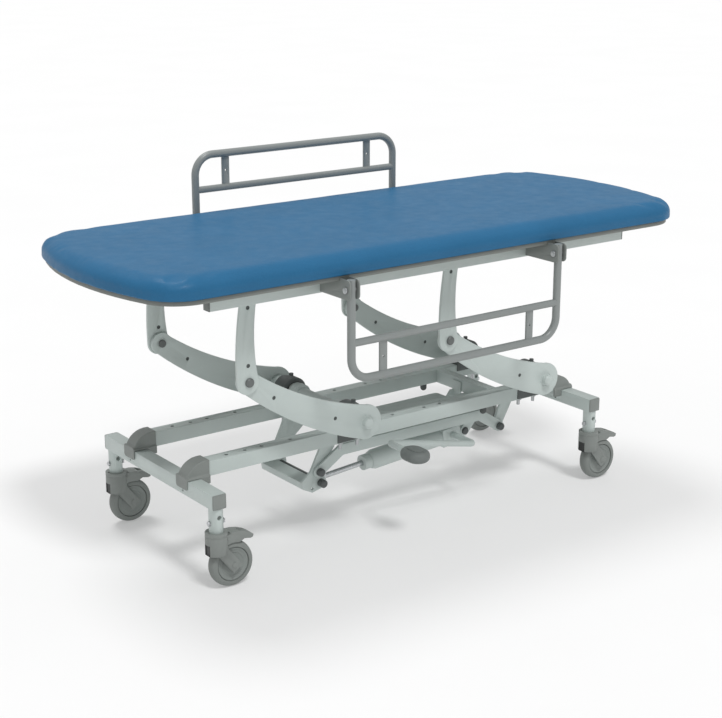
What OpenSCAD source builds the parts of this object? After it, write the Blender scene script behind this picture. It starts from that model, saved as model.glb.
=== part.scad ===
// Mobile height-adjustable examination and changing couch.
// Millimetres. Origin on the floor under the middle of the padded top.
// +X runs towards the foot end, -Y is the front long side, +Z is up.

/* [Padded top] */
// Length of the padded top
couch_l = 1865; // [1780:1:1900]
// Width of the padded top
couch_w = 718; // [700:1:732]
// Radius of the four corners, seen from above
corner_r = 121; // [90:1:180]
// How far the two short ends bow out
end_bow = 74; // [20:1:80]
// Height of the underside of the deck board
deck_z = 785; // [784:0.5:790]
// Thickness of the deck board
deck_t = 12; // [9:1:18]
// How far the board stops short of the pad's edge
board_inset = 8; // [4:1:14]
// Thickness of the pad
pad_t = 53; // [40:1:60]
// Rounding of the pad's top edge
pad_edge_r = 31; // [10:1:38]

/* [Wheeled base] */
// Offset of the base centre from the middle of the top
base_x = -46; // [-50:1:-40]
// Half the distance between the two cross members
wheelbase_half = 661; // [655:1:670]
// Side of the square cross member tube
cross_s = 40; // [38:1:42]
// Height of the top face of the cross members
cross_top = 265; // [264:0.5:266]
// Half the length of a cross member, end caps included
cross_half = 294; // [290:1:300]
// Distance from the centre plane to each base rail
rail_y = 142; // [142:1:143]
// Side of the square base rail tube
rail_s = 40; // [40:1:40]
// Wall of the square steel tubes
tube_wall = 2.5; // [2:0.5:3]

/* [Castors] */
// Distance from the centre plane to each castor
castor_y = 272; // [268:1:274]
// Radius of the castor wheels
wheel_r = 62.5; // [60:0.5:63]
// Width of the castor wheels
wheel_w = 32; // [28:1:34]
// Distance that the axle trails behind the swivel axis
castor_trail = 40; // [38:1:42]
// Radius of the castor legs
leg_r = 19; // [18:0.5:20]

/* [Lifting linkage] */
// Lower pivot of the left arms, along X
pivot_lx = -194; // [-196:1:-192]
// Distance between the two lower pivots
pivot_gap = 665; // [663:1:667]
// Height of the lower pivots
pivot_z = 337; // [336:1:338]
// Length of an arm between its pivots
arm_l = 424; // [423:1:425]
// Slope of the arms at rest
arm_a = 26.1; // [25.5:0.1:26.5]
// Radius of the torsion tubes
torsion_r = 20; // [20:0.5:20]
// Radius of the pins at the upper pivots
upper_pin_r = 8; // [6:0.5:9]

/* [Top frame] */
// Height of a top rail
top_rail_h = 49; // [48:1:50]
// Width of a top rail
top_rail_w = 28; // [25:1:30]
// Half the length of a top rail, end caps included
top_rail_half = 716.5; // [690:0.5:740]
// Offset of the top rails from the middle of the top
top_rail_x = 12; // [0:1:20]

/* [Side rails] */
// Distance from the centre plane to the hanging side rails
side_y = 380; // [379:1:384]
// Height of the side rail pivots
side_z = 765; // [764:1:766]
// Half the distance between the legs of a side rail
side_half = 356.5; // [340:0.5:380]
// Distance from the pivots to the outer bar
side_h = 241; // [225:1:250]
// Distance from the pivots to the inner bar
side_mid = 141.5; // [130:0.5:150]
// Radius of the bent tube
side_r = 11; // [9:0.5:11]
// Bend radius of the tube's centre line
side_bend = 58; // [45:1:70]

/* [Hydraulic pump] */
// Rear pivot of the ram, along X
ram_x = 272.5; // [272:0.5:273]
// Rear pivot of the ram, height
ram_z = 179; // [178:0.5:180]
// Plane of the ram, along Y
ram_y = -73; // [-74:0.5:-72]
// Radius of the cylinder body
ram_r = 29; // [26:0.5:29]
// Radius of the piston rod
rod_r = 8; // [8:0.5:8]

/* [Hidden] */
$fn = 96;
fit = 0.06;          // running clearance on a radius
open_fit = 0.35;     // clearance on a radius at an opened pivot
frame_white = [0.80, 0.85, 0.83];
rail_grey = [0.56, 0.59, 0.58];
plastic_grey = [0.50, 0.53, 0.52];
block_grey = [0.33, 0.35, 0.35];
rubber_grey = [0.40, 0.42, 0.42];
zinc = [0.83, 0.85, 0.86];

pivot_rx = pivot_lx + pivot_gap;
upper_dx = -arm_l * cos(arm_a);
upper_z = pivot_z + arm_l * sin(arm_a);
front = -1;
rear = 1;
left = -1;
right = 1;

// planes from the centre plane outwards
lever_y = [96, 104];
bar_y = [105, 113];
block_y = [124, 184];
bush_flange_y = [184, 188];
collar_y = [188.4, 217];
boss_y = [84, 96];
arm_y = [217, 227];
stub_y = 245;
stub_r = 15.5;
upright_y = [228, 236];
top_rail_y = [236, 236 + top_rail_w];
hang_root_y = top_rail_y[1];

// base rails
rail_in = rail_y - rail_s / 2;
rail_out = rail_y + rail_s / 2;
rail_top = cross_top + rail_s;
rail_end = wheelbase_half + 15;
rail_bevel = 34;
rail_hole_r = 5.5;
rail_holes = [-547, -489, -435.5, -343, 6, 121, 178.5];

// castor stems in the legs
stem_r = 13;
leg_bolt_z = 184.5;
leg_bolt_r = 4;
leg_hole_r = 6.5;

// bearing blocks
bush_r = 24;
boss_r = 28.5;
block_half = 52;
block_r = 39.5;
block_end_r = 33;
block_step = 154;
block_plug = [8.4, 154, 382];
block_bolt_dx = 29.5;
block_bolt_r = 5;
block_bolt_z = [242, 316];

// arms: two large arcs joined by the round pivot ends
arm_low_end_r = 49;
arm_up_end_r = 30.5;
arm_top_arc = [258, 995, 980];
arm_low_arc = [167, 1013, 1075];
arm_hole_u = [108, 326];
arm_hole_v = -17.5;
arm_hole_r = 5.5;

// uprights: two arcs above the lower pivot end
upright_end = [-3.5, 0, 32.2];
upright_left_arc = [963.5, 40, 1000];
upright_right_arc = [617.5, 115, 600];
upright_h = 255;
upright_holes = [[-2, 45], [0, 198]];

// linkage pins, measured from the lower pivot of their arm
link_pin = [-78.5, -162];
drive_pin = [-69, -198.4];
link_pin_r = 8;
pin_cap_r = 11.5;
bar_w = 32;
bar_rise = 49;
bar_run = 77;
roller_r = 14;

// top frame
top_rail_z = deck_z - top_rail_h;
cross_tube_s = 30;
cross_tube_x = [-660, -250, 250, 660];

// hydraulic ram, measured from its rear pivot towards the drive pin
drive_x = pivot_lx + drive_pin[0];
drive_z = pivot_z + drive_pin[1];
ram_tilt = atan2(ram_z - drive_z, ram_x - drive_x);
ram_len = norm([ram_x - drive_x, ram_z - drive_z]);
body_from = 90;
body_to = 330;
gland_from = 345;
gland_to = 370.6;
gland_r = 22.5;
bore_r = 20;
thrust_gap = 8;
thrust_t = 8;
rod_to = ram_len - roller_r - thrust_gap - thrust_t;
rod_from = 258;

// foot lever, measured from the pump shaft
shaft_x = 219;
shaft_z = 180;
lever_tilt = 12.5;
lever_len = 328;
lever_r = 9;
lever_out = 203;
lever_bend = 20;
foot_out = 322;

// corner arcs and end arcs of the padded top
bow_r = (pow(couch_w / 2, 2) + pow(end_bow, 2)) / (2 * end_bow);
bow_x = couch_l / 2 - bow_r;
corner_cy = couch_w / 2 - corner_r;
corner_cx = bow_x + sqrt(pow(bow_r - corner_r, 2) - pow(corner_cy, 2));
bow_a = asin(corner_cy / (bow_r - corner_r));

// ---------- helpers ----------

// a box given by two opposite corners
module span(a, b) {
    translate(a) cube(b - a);
}

// an X-Z outline as a plate on one side, between two distances from the centre plane
module plate(side, from, to) {
    translate([0, side > 0 ? to : -from, 0]) rotate([90, 0, 0]) linear_extrude(to - from) children();
}

// a round bar along Y between two absolute positions
module y_bar(x, z, y0, y1, r) {
    translate([x, y1, z]) rotate([90, 0, 0]) cylinder(r = r, h = y1 - y0);
}

// a round bar along Y on one side of the centre plane
module side_bar(side, x, z, from, to, r) {
    y_bar(x, z, side > 0 ? from : -to, side > 0 ? to : -from, r);
}

// a round bar along X
module x_bar(x0, x1, y, z, r) {
    translate([x0, y, z]) rotate([0, 90, 0]) cylinder(r = r, h = x1 - x0);
}

// a straight strip between two points of an outline
module strip(p, q, w) {
    d = q - p;
    translate(p) rotate(atan2(d[1], d[0])) translate([0, -w / 2]) square([norm(d), w]);
}

// a quarter bend of round bar in the X-Y plane, starting at angle a
module bend(c, a, bend_r, r) {
    translate([c[0], c[1], 0]) rotate([0, 0, a]) rotate_extrude(angle = 90)
        translate([bend_r, 0]) circle(r = r);
}

// a domed cap: a short cylinder whose rim is chamfered, facing outwards along Y
module dome_cap(side, x, z, from, to, r) {
    rim = r * 0.28;
    side_bar(side, x, z, from, to - rim, r);
    translate([x, side * (to - rim), z]) rotate([-side * 90, 0, 0]) cylinder(r1 = r, r2 = r - rim, h = rim);
}

// the rounded outline of the padded top, moved in by inset
function arc_points(c, r, a0, a1, n) =
    [for (i = [0:n]) let (a = a0 + (a1 - a0) * i / n) [c[0] + r * cos(a), c[1] + r * sin(a)]];
function couch_points(inset) =
    let (right_end = concat(
        arc_points([corner_cx, corner_cy], corner_r - inset, 90, bow_a, 10),
        arc_points([bow_x, 0], bow_r - inset, bow_a * 0.8, -bow_a * 0.8, 8),
        arc_points([corner_cx, -corner_cy], corner_r - inset, -bow_a, -90, 10)))
    concat(right_end, [for (p = right_end) [-p[0], -p[1]]]);

// ---------- wheeled base ----------

module cross_member(side) {
    cx = base_x + side * wheelbase_half;
    half = cross_s / 2;
    tube_half = cross_half - 4;
    leg_bottom = 158.5;
    color(frame_white) difference() {
        union() {
            span([cx - half, -tube_half, cross_top - cross_s], [cx + half, tube_half, cross_top]);
            for (y = [-castor_y, castor_y]) translate([cx, y, leg_bottom])
                cylinder(r = leg_r, h = cross_top - cross_s - leg_bottom);
        }
        span([cx - half + tube_wall, -tube_half - 1, cross_top - cross_s + tube_wall],
             [cx + half - tube_wall, tube_half + 1, cross_top - tube_wall]);
        for (y = [-castor_y, castor_y]) {
            translate([cx, y, leg_bottom - 1]) cylinder(r = stem_r + 0.1, h = 66);
            x_bar(cx - leg_r - 1, cx + leg_r + 1, y, leg_bolt_z, leg_bolt_r + 0.1);
            y_bar(cx, 201, y - leg_r - 1, y - stem_r + 1, leg_hole_r);
        }
        for (y = [-rail_y, rail_y]) x_bar(cx - half - 1, cx - half + tube_wall + 1, y, 235, 3);
    }
}
module cross_member_left() cross_member(left);
module cross_member_right() cross_member(right);

module base_rail(side) {
    color(frame_white) difference() {
        plate(side, rail_in, rail_out) polygon([
            [base_x - rail_end, cross_top], [base_x + rail_end, cross_top],
            [base_x + rail_end - rail_bevel, rail_top], [base_x - rail_end + rail_bevel, rail_top]]);
        plate(side, rail_in + tube_wall, rail_out - tube_wall)
            translate([base_x - rail_end - 1, cross_top + tube_wall])
                square([2 * rail_end + 2, rail_s - 2 * tube_wall]);
        for (x = rail_holes) translate([base_x + x, side * rail_y, rail_top - 5])
            cylinder(r = rail_hole_r, h = 10);
        for (px = [pivot_lx, pivot_rx], dx = [-block_bolt_dx, block_bolt_dx])
            translate([px + dx, side * rail_y, cross_top - 1])
                cylinder(r = block_bolt_r + 0.2, h = rail_s + 2);
    }
}
module base_rail_front() base_rail(front);
module base_rail_rear() base_rail(rear);

beam_x = [337, 367];
module cross_beam() {
    color(frame_white) difference() {
        span([beam_x[0], -rail_in, cross_top], [beam_x[1], rail_in, rail_top]);
        span([beam_x[0] + tube_wall, -rail_in - 1, cross_top + tube_wall],
             [beam_x[1] - tube_wall, rail_in + 1, rail_top - tube_wall]);
    }
}

// one moulded cover over the bevelled end of a base rail
cover_wall = 3;
cover_r = 58;
module cover_outline(grow) {
    arc_c = [55, 253];
    intersection() {
        translate(arc_c) circle(r = cover_r - cover_wall + grow);
        translate([-10, cross_top]) square([65, 60]);
    }
    translate([54.9, cross_top]) square([14.1 + (grow > 0 ? 0 : 2), 46 - cover_wall + grow]);
}
module rail_end_cover(end, side) {
    wide = rail_s / 2 + 0.3;
    outer = wide + cover_wall;
    foot = outer + 5;
    outer_face = base_x + end * (wheelbase_half + cross_s / 2);
    translate([outer_face, side * rail_y, 0]) mirror([end > 0 ? 1 : 0, 0, 0]) difference() {
        union() {
            plate_centred(outer) cover_outline(cover_wall);
            for (s = [-1, 1]) cover_flare(s, outer, foot);
            rotate([90, 0, -90]) translate([0, 0, 0.3]) linear_extrude(4.2) cover_lip(foot);
            for (s = [-1, 1]) span([cross_s + 0.3, s > 0 ? wide : -foot, 247],
                                   [69, s > 0 ? foot : -wide, cross_top + 3]);
        }
        plate_centred(wide) union() {
            cover_outline(0);
            translate([0.3, cross_top - 1]) square([70, 2]);
            translate([cross_s + 0.3, 240]) square([70, 30]);
        }
    }
}
// the flared foot along each side of a cover: a concave fillet
module cover_flare(s, outer, foot) {
    r = foot - outer;
    translate([0.3, 0, 0]) rotate([90, 0, 90]) linear_extrude(68.7) difference() {
        translate([s > 0 ? outer : -foot, cross_top + 0.2]) square([r, 2 * r]);
        translate([s * foot, cross_top + 0.2 + 2 * r]) circle(r = r - 0.01);
    }
}
// the lip that hangs over the outer face of the cross member
module cover_lip(foot) {
    r = 8;
    low = 241;
    high = cross_top + 12;
    translate([-foot + r, low]) square([2 * (foot - r), high - low]);
    translate([-foot, low + r]) square([2 * foot, high - low - 2 * r]);
    for (x = [-foot + r, foot - r], z = [low + r, high - r]) translate([x, z]) circle(r = r);
}
// an X-Z outline as a plate about the plane y = 0
module plate_centred(half) {
    translate([0, half, 0]) rotate([90, 0, 0]) linear_extrude(2 * half) children();
}
module rail_end_covers() {
    color(plastic_grey) for (end = [left, right], side = [front, rear]) rail_end_cover(end, side);
}

module frame_end_caps() {
    half = cross_s / 2;
    color(plastic_grey) for (cx = [base_x - wheelbase_half, base_x + wheelbase_half], s = [-1, 1])
        plate(s, cross_half - 4, cross_half) translate([cx - half + 3, cross_top - cross_s + 3])
            offset_square(cross_s - 6, 3);
}
// a square with rounded corners, grown by r on every side
module offset_square(s, r) {
    translate([-r, 0]) square([s + 2 * r, s]);
    translate([0, -r]) square([s, s + 2 * r]);
    for (x = [0, s], y = [0, s]) translate([x, y]) circle(r = r);
}

// one bearing block: a foot that wraps the rail, and a thick barrel that tapers outwards
module bearing_block(side, px) {
    skirt = rail_top + 13;
    difference() {
        union() {
            plate(side, rail_in, rail_out) translate([px - block_half, rail_top])
                square([2 * block_half, skirt - rail_top]);
            plate(side, rail_out, rail_out + 4) translate([px - block_half, 268])
                square([2 * block_half, skirt - 268]);
            plate(side, rail_in - 3.5, rail_in) translate([px - block_half, 286])
                square([2 * block_half, skirt - 286]);
            side_bar(side, px, pivot_z, block_y[0], block_step, block_r);
            translate([px, side * block_step, pivot_z]) rotate([-side * 90, 0, 0])
                cylinder(r1 = block_r, r2 = block_end_r, h = block_y[1] - block_step);
            translate([px + block_plug[0], side * block_plug[1], pivot_z + bush_r + 5])
                cylinder(r = 6.5, h = block_plug[2] - pivot_z - bush_r - 5);
        }
        side_bar(side, px, pivot_z, block_y[0] - 10, block_y[1] + 1, bush_r);
        span([px - block_half - 1, side > 0 ? rail_in : -rail_out, rail_top - 40],
             [px + block_half + 1, side > 0 ? rail_out : -rail_in, rail_top]);
        for (dx = [-block_bolt_dx, block_bolt_dx]) translate([px + dx, side * rail_y, rail_top - 1])
            cylinder(r = block_bolt_r + 0.2, h = block_bolt_z[1] - rail_top + 2);
    }
}
module bearing_blocks() {
    color(block_grey) for (side = [front, rear], px = [pivot_lx, pivot_rx]) bearing_block(side, px);
}
module bearing_bushes() {
    color("white") for (side = [front, rear], px = [pivot_lx, pivot_rx]) difference() {
        union() {
            side_bar(side, px, pivot_z, block_y[0], block_y[1], bush_r);
            side_bar(side, px, pivot_z, bush_flange_y[0], bush_flange_y[1], bush_r + 3);
        }
        side_bar(side, px, pivot_z, block_y[0] - 1, bush_flange_y[1] + 1, torsion_r + fit);
    }
}

module hex_nut(r, h) {
    cylinder(r = r, h = h, $fn = 6);
}
module base_bolts() {
    color(zinc) {
        for (side = [front, rear], px = [pivot_lx, pivot_rx], dx = [-block_bolt_dx, block_bolt_dx])
            translate([px + dx, side * rail_y, 0]) {
                translate([0, 0, block_bolt_z[0]])
                    cylinder(r = block_bolt_r, h = block_bolt_z[1] - block_bolt_z[0]);
                translate([0, 0, cross_top - 8]) hex_nut(9, 8);
            }
        for (end = [left, right], side = [front, rear])
            translate([base_x + end * wheelbase_half, side * castor_y, leg_bolt_z]) {
                x_bar(-leg_r - 1, leg_r + 6, 0, 0, leg_bolt_r);
                x_bar(-leg_r - 5, -leg_r, 0, 0, 6.5);
                translate([leg_r, 0, 0]) rotate([0, 90, 0]) hex_nut(7.5, 5);
            }
    }
}

bumper_x = 301;
module bumpers() {
    bumper_r = 10;
    color(rubber_grey) for (s = [-1, 1]) translate([bumper_x, s * rail_y, cross_top - 25 + bumper_r]) {
        cylinder(r = bumper_r, h = 25 - bumper_r);
        sphere(r = bumper_r);
    }
}

module pump_tray() {
    tray = [0, 271];
    color(frame_white) difference() {
        union() {
            span([tray[0], -94, cross_top - 3], [tray[1] - 12, 41, cross_top]);
            span([tray[1] - 13, -94, cross_top - 3], [tray[1], 29, cross_top]);
            translate([tray[1] - 12, 29, cross_top - 3]) cylinder(r = 12, h = 3);
            span([tray[1] - 1, -60, cross_top - 3], [beam_x[1], -10, cross_top]);
        }
        for (x = [60, 230]) translate([x, -26, cross_top - 4]) cylinder(r = 4, h = 5);
    }
}

bracket_near = [-94, -88];
bracket_far = [34, 40];
module bracket_outline() {
    difference() {
        union() {
            translate([ram_x, ram_z]) circle(r = 16);
            polygon([[ram_x - 13, ram_z + 9.5], [beam_x[0] - 15, cross_top], [beam_x[1] - 1, cross_top],
                     [ram_x + 13.5, ram_z - 9]]);
        }
        translate([ram_x, ram_z]) circle(r = link_pin_r);
    }
}
module pump_bracket() {
    color(frame_white) {
        for (p = [bracket_near, bracket_far]) translate([0, p[1], 0]) rotate([90, 0, 0])
            linear_extrude(p[1] - p[0]) bracket_outline();
        span([beam_x[0] - 4, 1, 242], [beam_x[0], bracket_far[1], 296]);
    }
}
module ram_rear_pin() {
    color(block_grey) {
        y_bar(ram_x, ram_z, bracket_near[0], bracket_far[1], link_pin_r);
        dome_cap(front, ram_x, ram_z, -bracket_near[0], -bracket_near[0] + 7, pin_cap_r);
        dome_cap(rear, ram_x, ram_z, bracket_far[1], bracket_far[1] + 7, pin_cap_r);
    }
}

// ---------- castors ----------

head_z = [148, 158.5];
housing_r = 29.5;
fork_in = 19;
fork_out = 24.5;
strap_w = 33;
axle_r = 5;
slot_r = 66;
pedal_hinge = [22, 140];
cheek_y = [16.8, 18.5];

module at_castor(end, side) {
    translate([base_x + end * wheelbase_half, side * castor_y, 0]) children();
}
// the fixed upper race and stem of each castor
module castor_heads() {
    color(plastic_grey) for (end = [left, right], side = [front, rear]) at_castor(end, side) difference() {
        union() {
            translate([0, 0, head_z[0] + 0.3]) cylinder(r = housing_r, h = head_z[1] - head_z[0] - 0.3);
            translate([0, 0, 130]) cylinder(r = stem_r, h = 90);
        }
        x_bar(-stem_r - 1, stem_r + 1, 0, leg_bolt_z, leg_bolt_r + 0.1);
        translate([-22.5, 0, head_z[1] - 5]) cylinder(r = 3, h = 6);
    }
}
module castor_fork(end, side) {
    axle = [castor_trail, wheel_r];
    top = [0, 114];
    beyond = (axle - top) / norm(axle - top) * strap_w * 0.46;
    color(plastic_grey) at_castor(end, side) difference() {
        union() {
            translate([0, 0, 98]) cylinder(r = housing_r, h = head_z[0] - 98);
            for (s = [-1, 1]) plate(s, fork_in, fork_out) strip(top, axle + beyond, strap_w);
        }
        y_bar(axle[0], axle[1], -fork_in, fork_in, slot_r);
        y_bar(axle[0], axle[1], -40, 40, axle_r);
        translate([0, 0, 120]) cylinder(r = stem_r + fit, h = 40);
        span([-31, -12, 97], [-14.5, 12, 127]);
        span([15, -19, 119], [31, 19, head_z[0] + 1]);
        y_bar(pedal_hinge[0], pedal_hinge[1], -26, 26, 2.5 + fit);
    }
}
module castor_wheel(end, side) {
    h = wheel_w / 2;
    tyre_in = wheel_r - 17;
    at_castor(end, side) translate([castor_trail, 0, wheel_r]) rotate([90, 0, 0]) {
        color(rubber_grey) rotate_extrude() polygon(concat(
            [[tyre_in, -h + 3], [tyre_in + 1.5, -h], [wheel_r - 8, -h]],
            arc_points([wheel_r - 8, 0], 8, -60, 60, 8) * [[1, 0], [0, 2]],
            [[wheel_r - 8, h], [tyre_in + 1.5, h], [tyre_in, h - 3]]));
        color(plastic_grey) rotate_extrude() polygon([
            [axle_r + fit, -h - 1], [14, -h - 1], [17, -h + 2], [38, -h + 4], [42, -h + 2],
            [tyre_in, -h + 2.5],
            [tyre_in, h - 2.5], [42, h - 2], [38, h - 4], [17, h - 2], [14, h + 1], [axle_r + fit, h + 1]]);
    }
}
module castor_axle(end, side) {
    color(plastic_grey) at_castor(end, side) {
        y_bar(castor_trail, wheel_r, -fork_out, fork_out, axle_r);
        for (s = [front, rear]) side_bar(s, castor_trail, wheel_r, fork_out, fork_out + 0.8, 8.5);
    }
}
module castor_pedal(end, side) {
    wheel_c = [castor_trail, wheel_r];
    color(plastic_grey) at_castor(end, side) difference() {
        union() {
            plate_centred(cheek_y[0]) polygon([
                [18.5, 136], [31.5, 134.8], [46, 134.5], [60, 132], [74, 127.5], [92, 124], [99, 126],
                [101, 133], [88, 141], [70, 148], [50, 152], [33, 152], [31.5, 148], [20, 146]]);
            plate_centred(cheek_y[1]) difference() {
                polygon([[19, 121], [60, 121], [74, 127.5], [92, 124], [99, 126], [101, 133], [88, 141],
                         [70, 148], [50, 152], [33, 152], [31.5, 148], [19, 146]]);
                translate(wheel_c) circle(r = 60.5);
            }
            y_bar(pedal_hinge[0], pedal_hinge[1], -23, 23, 2.5);
        }
        y_bar(wheel_c[0], wheel_c[1], -cheek_y[0], cheek_y[0], 71);
        span([62, -11, 141], [90, 11, 160]);
        translate([0, 0, head_z[0] - 1]) cylinder(r = housing_r + 2, h = 30);
    }
}
module castor_fork_left_front() castor_fork(left, front);
module castor_fork_left_rear() castor_fork(left, rear);
module castor_fork_right_front() castor_fork(right, front);
module castor_fork_right_rear() castor_fork(right, rear);
module castor_wheel_left_front() castor_wheel(left, front);
module castor_wheel_left_rear() castor_wheel(left, rear);
module castor_wheel_right_front() castor_wheel(right, front);
module castor_wheel_right_rear() castor_wheel(right, rear);
module castor_axle_left_front() castor_axle(left, front);
module castor_axle_left_rear() castor_axle(left, rear);
module castor_axle_right_front() castor_axle(right, front);
module castor_axle_right_rear() castor_axle(right, rear);
module castor_pedal_left_front() castor_pedal(left, front);
module castor_pedal_left_rear() castor_pedal(left, rear);
module castor_pedal_right_front() castor_pedal(right, front);
module castor_pedal_right_rear() castor_pedal(right, rear);

// ---------- lifting linkage ----------

module torsion_tube(px) {
    color(frame_white) difference() {
        union() {
            y_bar(px, pivot_z, -arm_y[1], arm_y[1], torsion_r);
            for (s = [front, rear]) {
                side_bar(s, px, pivot_z, collar_y[0], collar_y[1], torsion_r + 6);
                side_bar(s, px, pivot_z, lever_y[1], lever_y[1] + 14, torsion_r + 7);
                side_bar(s, px, pivot_z, boss_y[0], boss_y[1], boss_r);
                dome_cap(s, px, pivot_z, arm_y[1] - 4, stub_y, stub_r);
            }
        }
        y_bar(px, pivot_z, -arm_y[0], arm_y[0], torsion_r - 4);
    }
}
module torsion_tube_left() torsion_tube(pivot_lx);
module torsion_tube_right() torsion_tube(pivot_rx);

module arm_outline() {
    intersection() {
        difference() {
            translate([arm_low_arc[0], arm_low_arc[1]]) circle(r = arm_low_arc[2], $fn = 720);
            translate([arm_top_arc[0], arm_top_arc[1]]) circle(r = arm_top_arc[2], $fn = 720);
        }
        translate([0, -150]) square([arm_l, 300]);
    }
    circle(r = arm_low_end_r);
    translate([arm_l, 0]) circle(r = arm_up_end_r);
}
module arm(side, px, upper_fit) {
    color(frame_white) difference() {
        plate(side, arm_y[0], arm_y[1]) translate([px, pivot_z]) rotate(-arm_a) mirror([1, 0]) difference() {
            arm_outline();
            circle(r = torsion_r);
            translate([arm_l, 0]) circle(r = upper_pin_r + upper_fit);
            for (u = arm_hole_u) translate([u, arm_hole_v]) circle(r = arm_hole_r);
        }
    }
}
module arm_left_front() arm(front, pivot_lx, fit);
module arm_left_rear() arm(rear, pivot_lx, fit);
module arm_right_front() arm(front, pivot_rx, open_fit);
module arm_right_rear() arm(rear, pivot_rx, open_fit);

// the left lever: two side plates joined by an angled strip along their lower edge
lip = [[-134, -186], [-88.6, -183], [-88.6, -187], [-130, -190], [-127, -205], [-131, -206]];
module drive_lever() {
    tip_r = 18;
    color(frame_white) translate([pivot_lx, 0, pivot_z]) {
        for (s = [front, rear]) plate(s, lever_y[0], lever_y[1]) difference() {
            union() {
                circle(r = boss_r);
                polygon([[-28, -4], [-68, -92], [-102, -160], lip[0], lip[5], [-98, -223],
                         drive_pin + [4, -roller_r - 3], drive_pin + [tip_r, 0], link_pin + [tip_r + 2, 4],
                         [s > 0 ? 10 : -21, -99], [28, -6]]);
                translate(drive_pin) circle(r = tip_r);
            }
            circle(r = torsion_r);
            translate(link_pin) circle(r = link_pin_r);
            translate(drive_pin) circle(r = link_pin_r);
            translate([-98, -211]) circle(r = 4.5);
        }
        plate_centred(lever_y[0]) polygon(lip);
    }
}
module lever_right() {
    color(frame_white) translate([pivot_rx, 0, pivot_z]) plate(front, lever_y[0], lever_y[1]) difference() {
        union() {
            circle(r = boss_r + 1.5);
            translate(link_pin) circle(r = 17);
            polygon([[-29, -6], link_pin + [-15, 8], link_pin + [14, -9], [29, -6]]);
        }
        circle(r = torsion_r);
        translate(link_pin) circle(r = link_pin_r);
    }
}
module link_stub(px) {
    p = [px + link_pin[0], pivot_z + link_pin[1]];
    side_bar(front, p[0], p[1], lever_y[0] - 5, bar_y[1] + 1, link_pin_r);
    side_bar(front, p[0], p[1], lever_y[0] - 5, lever_y[0], 12);
    dome_cap(front, p[0], p[1], bar_y[1] + 0.4, bar_y[1] + 15, pin_cap_r);
}
module lever_pins_left() {
    color(block_grey) {
        link_stub(pivot_lx);
        y_bar(drive_x, drive_z, -lever_y[1], lever_y[1], link_pin_r);
        dome_cap(front, drive_x, drive_z, lever_y[1], lever_y[1] + 21, pin_cap_r);
        dome_cap(rear, drive_x, drive_z, lever_y[1], lever_y[1] + 8, pin_cap_r);
        y_bar(drive_x, drive_z, ram_y - 15, ram_y + 15, roller_r);
    }
}
module link_pin_right() {
    color(block_grey) link_stub(pivot_rx);
}
module sync_bar() {
    a = [pivot_lx + link_pin[0], pivot_z + link_pin[1]];
    d = a + [pivot_gap, 0];
    half = bar_w / 2;
    slope = atan2(bar_rise, bar_run);
    // the outline of the left half: end, lower corner, upper corner, end
    start = [half * sin(slope), -half * cos(slope)];
    low = [bar_run, bar_rise] + [half * tan(slope / 2), -half];
    high = [bar_run, bar_rise] + [-half * tan(slope / 2), half];
    left_half = [start, low, high, -start];
    color(frame_white) plate(front, bar_y[0], bar_y[1]) difference() {
        union() {
            polygon([
                a + left_half[0], a + left_half[1],
                d + [-left_half[1][0], left_half[1][1]], d + [-left_half[0][0], left_half[0][1]],
                d + [-left_half[3][0], left_half[3][1]], d + [-left_half[2][0], left_half[2][1]],
                a + left_half[2], a + left_half[3]]);
            for (p = [a, d]) translate(p) circle(r = half + 0.8);
        }
        translate(a) circle(r = link_pin_r + fit);
        translate(d) circle(r = link_pin_r + open_fit);
    }
}

// ---------- top frame ----------

module upright(side, px) {
    color(frame_white) plate(side, upright_y[0], upright_y[1])
    translate([px + upper_dx, upper_z]) difference() {
        union() {
            translate([upright_end[0], upright_end[1]]) circle(r = upright_end[2]);
            intersection() {
                difference() {
                    translate([upright_left_arc[0], upright_left_arc[1]])
                        circle(r = upright_left_arc[2], $fn = 720);
                    translate([upright_right_arc[0], upright_right_arc[1]])
                        circle(r = upright_right_arc[2], $fn = 720);
                }
                translate([-60, 0]) square([120, upright_h]);
            }
        }
        circle(r = upper_pin_r);
        for (p = upright_holes) translate(p) circle(r = arm_hole_r);
    }
}
module uprights() {
    for (side = [front, rear], px = [pivot_lx, pivot_rx]) upright(side, px);
}

module top_rail(side) {
    half = top_rail_half - 3;
    w = tube_wall;
    color(frame_white) difference() {
        plate(side, top_rail_y[0], top_rail_y[1])
            translate([top_rail_x - half, top_rail_z]) square([2 * half, top_rail_h]);
        plate(side, top_rail_y[0] + w, top_rail_y[1] - w)
            translate([top_rail_x - half - 1, top_rail_z + w])
                square([2 * half + 2, top_rail_h - 2 * w]);
    }
}
module top_rail_front() top_rail(front);
module top_rail_rear() top_rail(rear);

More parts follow.
